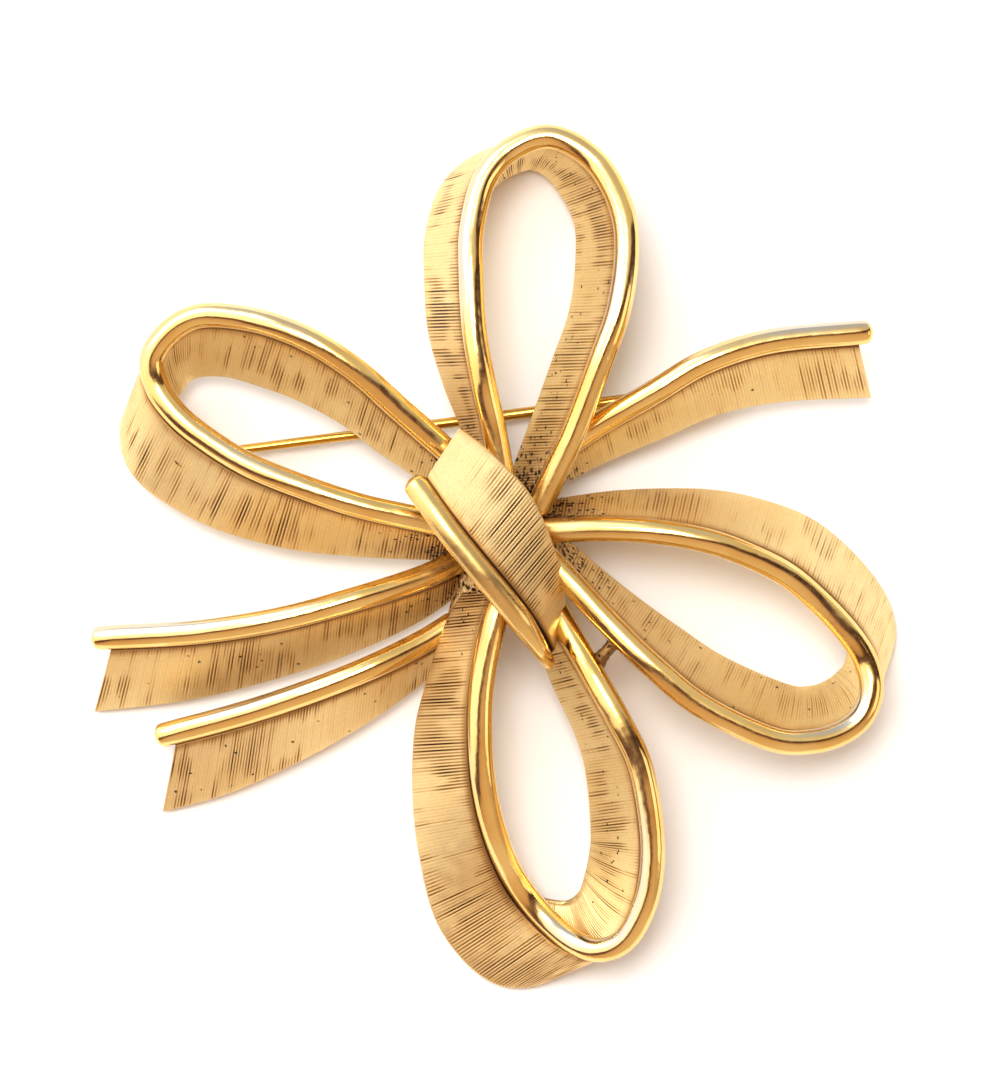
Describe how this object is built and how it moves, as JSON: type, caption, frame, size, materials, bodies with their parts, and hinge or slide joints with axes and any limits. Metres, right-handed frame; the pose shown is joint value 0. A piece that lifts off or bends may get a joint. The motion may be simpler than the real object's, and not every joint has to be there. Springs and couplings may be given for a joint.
{
  "type": "bow brooch",
  "caption": "Gold-tone cast bow brooch: ribbon loops, tails and a slanting knot on edge with polished beads, engraved faces, and a hinged pin behind.",
  "frame": {"origin": "on the table under the middle of the brooch's box", "axes": "+Z out of the brooch's front face; +Y towards the top loop's tip"},
  "size_m": [0.0654, 0.0698, 0.0131],
  "materials": {
    "gold_band": "gold plated, cut with fine lines",
    "gold_polished": "gold plated, polished",
    "gold_wire": "gold plated, drawn wire"
  },
  "bodies": {
    "brooch": {"bow": "gold_band", "hinge_rivet": "gold_polished"},
    "pin": {"pin_stem": "gold_wire"}
  },
  "joints": [
    {"name": "pin_hinge", "type": "hinge", "parent": "brooch", "child": "pin", "pos_m": [0.01626, 0.01368, 0.00151], "axis": [0.1279, -0.9918, 0], "range_deg": [0, 80]}
  ]
}
